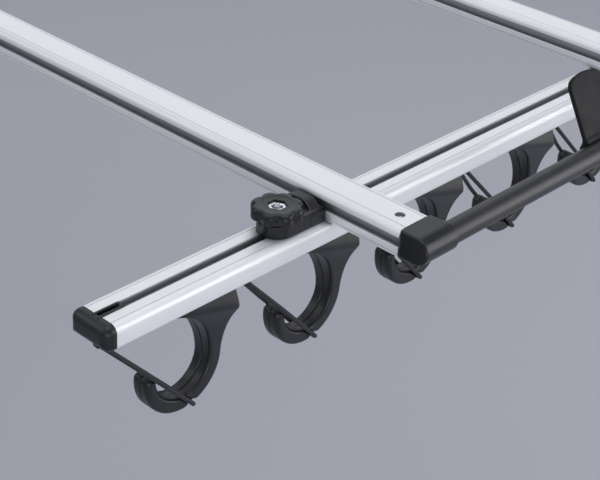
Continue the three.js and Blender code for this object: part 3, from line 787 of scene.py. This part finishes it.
def band_mesh():
    """Closed elastic loop that spreads from the eye to either side of the hook's tip, then runs on."""
    anchor, end = Vector(BAND["anchor"]), Vector(BAND["end"])
    length = (end - anchor).length
    far, near, bend, radius = BAND["half_spread"], BAND["eye_spread"], BAND["bend"], BAND["radius"]
    side = arc((bend, near - bend), bend, 180, 96, 8)
    at_tip = 0.46
    for share in np.linspace(0.05, 0.98, 26):
        side.append((length * share, near + (far - near) * min(share / at_tip, 1.0)))
    side += arc((length - bend, far - bend), bend, 90, 0, 10)
    path = np.array(side + [(a, -b) for a, b in reversed(side)])
    ahead = np.roll(path, -1, 0) - np.roll(path, 1, 0)
    ahead /= np.linalg.norm(ahead, axis=1)[:, None]
    along = (end - anchor) / length
    rise = np.array((-along[1], along[0]))
    rings = []
    for (s, y), (ds, dy) in zip(path, ahead):
        centre = np.array((anchor[0] + along[0] * s, y, anchor[1] + along[1] * s))
        aside = np.array((-dy * along[0], ds, -dy * along[1]))
        up = np.array((rise[0], 0, rise[1]))
        rings.append([centre + radius * (aside * math.cos(a) + up * math.sin(a))
                      for a in np.linspace(0, 2 * math.pi, 21)[:-1]])
    vertices, faces = skin(rings, loop=True)
    return as_mesh("band", vertices, [face[::-1] for face in faces], sharp=60)


# ---- clamp ----
def lobed(radius, depth):
    """Radii of the knob's outline: rounded lobes with narrow valleys between them."""
    valley = ((1 + np.cos(KNOB["lobes"] * AROUND)) / 2) ** 1.9
    return radius - depth * valley


def knob_mesh():
    """Hand knob with rounded lobes, a flat top and a hexagonal well."""
    radius, valley, low, top = KNOB["radius"], KNOB["valley"], KNOB["bottom"], KNOB["top"]
    bore, well, floor = STUD_RADIUS + GAP, HEX_ACROSS + 2 * GAP, low + KNOB["floor"]
    lower, upper = 1.4, 4.0
    profile = [(circle(bore), low), (circle(12), low)]
    profile += [(lobed(radius - lower + a, valley), low + lower + b)
                for a, b in arc((0, 0), lower, 270, 360, 5)]
    profile += [(lobed(radius - upper + a, valley * (1 - 0.25 * b / upper)), top - upper + b)
                for a, b in arc((0, 0), upper, 0, 90, 9)]
    profile += [(lobed(radius - upper - 1.2, valley * 0.62), top + 0.02), (circle(radius - 7.2), top - 0.05),
                (circle(radius - 8.0), top - 0.3), (circle(9.2), top - 0.35)]
    profile += [(hexagon(well + 0.9), top - 0.35), (hexagon(well), top - 0.8), (hexagon(well), floor),
                (circle(bore), floor)]
    return turned("knob", profile, loop=True)


def nut_mesh():
    """Hexagon nut on the knob's floor, with chamfered corners and a countersunk bore."""
    low = KNOB["bottom"] + KNOB["floor"] + GAP
    high = low + 5.4
    bore = STUD_RADIUS + GAP
    profile = [(circle(bore), low), (circle(HEX_ACROSS / 2 - 0.2), low), (hexagon(HEX_ACROSS), low + 0.6),
               (hexagon(HEX_ACROSS), high - 0.5), (hexagon(HEX_ACROSS - 0.5), high),
               (circle(bore + 0.6), high), (circle(bore), high - 0.6)]
    return turned("knob_nut", profile, loop=True)


def bolt_mesh():
    """T-bolt: a square head in the rail's slot and a threaded stud."""
    head_top = -SLOT["lip"] - GAP
    square = 6 / np.maximum(np.abs(np.cos(AROUND)), np.abs(np.sin(AROUND)))
    crest, pitch, start = circle(STUD_RADIUS), THREAD["pitch"], THREAD["from"]
    profile = [(square * 0.93, head_top - 3.8), (square, head_top - 3.3), (square, head_top - 0.4),
               (square * 0.95, head_top), (crest, head_top), (crest, start)]
    for turn in range(int((KNOB["top"] - 7.0 - start) / pitch)):
        z = start + turn * pitch
        profile += [(crest - THREAD["depth"], z + 0.45 * pitch), (crest, z + 0.95 * pitch)]
    profile.append((crest - 0.7, KNOB["top"] - 5.6))
    return turned("clamp_bolt", profile)


def base_mesh():
    """Clamp base with a step under the knob and a jaw whose lip sits in the bar's side slot.

    The knob's axis is x = y = 0, and the bar is at +x.
    """
    radius, height, jaw_top, ledge = BASE["radius"], BASE["height"], BASE["jaw_top"], BASE["ledge"]
    end = BASE["to_bar"] - GAP

    def distance(x, y, z):
        plan = np.where(x < 0, np.hypot(x, y), np.abs(y)) - radius
        lower = meet(np.maximum(plan, x - end), slab(z, GAP, height - ledge), 0.7)
        upper = meet(np.maximum(plan + 1.0, x - end), slab(z, GAP, height), 0.5)
        slope = -(y + 4) * 0.53 + (z - jaw_top) * 0.85
        corner = (y - radius + 3) * 0.71 + (z - jaw_top) * 0.71
        roof = meet(meet(z - jaw_top, slope, 2.5), corner, 1.2)
        wall = meet(np.maximum(np.abs(y) - radius, x - end), BASE["jaw_clearance"] - np.hypot(x, y), 1.4)
        jaw = np.maximum(meet(wall, roof, 1.4), np.maximum(2 - z, 2 - x))
        lip = block(x, y, z, ((end - 4, end + 1.8), (-radius + 1, radius - 1), (8.6, 13.2)), 0.5)
        solid = np.minimum.reduce([merge(lower, jaw, 1.2), upper, lip])
        return np.maximum(solid, STUD_RADIUS + GAP - np.hypot(x, y))

    return moulded("clamp_base", distance, (-radius, -radius, 0), (end + 2, radius, jaw_top), 0.5)


# ---- assembly ----
def middle_of(node):
    """Centre of a CAD node's box, in metres."""
    low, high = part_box(node)
    return (low + high) / 2


def length_of(node, axis):
    """Length of a CAD node's box along x, y or z, in millimetres."""
    low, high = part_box(node)
    return (high - low)["xyz".index(axis)] / MM


def draw_shapes():
    """Every shape once. The cap's eye is where the first hook's band starts, seen from the rail's end."""
    rail_low, rail_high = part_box("rail_front")
    hook_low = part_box("hook_front_1")[0]
    anchor_x = hook_low.x / MM + HOOK["outer"] + BAND["anchor"][0]
    anchor_z = hook_low.z / MM + HOOK["outer"] + BAND["anchor"][1]
    eye = eye_at((anchor_x - rail_low.x / MM, anchor_z - rail_high.z / MM))
    return {
        "bar": bar_mesh(length_of("bar_left", "y")),
        "rail": rail_mesh(length_of("rail_front", "x")),
        "tube": tube_mesh(length_of("tube_front", "x")),
        "joint": joint_mesh(),
        "screw": screw_mesh(),
        "bracket": bracket_mesh(),
        "cap": cap_mesh(eye),
        "hook": hook_mesh(),
        "band": band_mesh(),
        "base": base_mesh(),
        "bolt": bolt_mesh(),
        "knob": knob_mesh(),
        "nut": nut_mesh(),
    }


def place_corner(shapes, end, side, y, x):
    """The joint, its screw, the rail's cap and the clamp at one corner, where x and y are -1 or 1."""
    here, turned_over = f"{end}_{side}", (-x, -y)
    bar_low, bar_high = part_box(f"bar_{side}")
    corner = ((bar_low.x + bar_high.x) / 2, bar_high.y if y > 0 else bar_low.y, bar_low.z)
    place(f"joint_{here}", "moulding", shapes["joint"], "gloss", corner, "frame", turned_over)
    place(f"joint_screw_{here}", "steel", shapes["screw"], "steel", corner, "frame", turned_over)
    rail_low, rail_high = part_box(f"rail_{end}")
    rail_end = (rail_high.x if x > 0 else rail_low.x, middle_of(f"rail_{end}").y, rail_high.z)
    place(f"cap_{here}", "moulding", shapes["cap"], "matte", rail_end, f"rail_{end}", (-x, 1))
    knob = middle_of(f"knob_{here}")
    spot = (knob.x, knob.y, rail_high.z)
    clamp, turning = f"clamp_{here}", f"knob_{here}"
    place(f"clamp_base_{here}", "moulding", shapes["base"], "gloss", spot, clamp, turned_over)
    place(f"clamp_bolt_{here}", "steel", shapes["bolt"], "steel", spot, clamp)
    place(f"knob_{here}", "moulding", shapes["knob"], "gloss", spot, turning)
    place(f"knob_nut_{here}", "steel", shapes["nut"], "steel", spot, turning)


def build():
    """Places a piece for every CAD node, and both half shells for a hook."""
    shapes = draw_shapes()
    for side, _ in SIDES:
        foot = (middle_of(f"bar_{side}").x, 0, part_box(f"bar_{side}")[0].z)
        place(f"bar_{side}", "extrusion", shapes["bar"], "bar", foot, "frame")
    rear_shell = mirrored(shapes["hook"], 1, -1)
    for end, y in ENDS:
        rail, tube = f"rail_{end}", middle_of(f"tube_{end}")
        rail_y, rail_top = middle_of(rail).y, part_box(rail)[1].z
        place(f"tube_{end}", "coated", shapes["tube"], "tube", tube, "frame")
        place(f"bracket_{end}", "plate", shapes["bracket"], "rubber", tube, "frame", (1, -y))
        place(rail, "extrusion", shapes["rail"], "rail", (0, rail_y, rail_top), rail)
        for side, x in SIDES:
            place_corner(shapes, end, side, y, x)
        for i in range(1, 7):
            hook, band = f"hook_{end}_{i}", f"band_{end}_{i}"
            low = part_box(hook)[0]
            hollow = (low.x + HOOK["outer"] * MM, rail_y, low.z + HOOK["outer"] * MM)
            place(hook, "front_shell", shapes["hook"], "matte", hollow, rail)
            place(hook, "rear_shell", rear_shell, "matte", hollow, rail)
            place(band, "loop", shapes["band"], "band", hollow, band)


camera()
studio()
build()
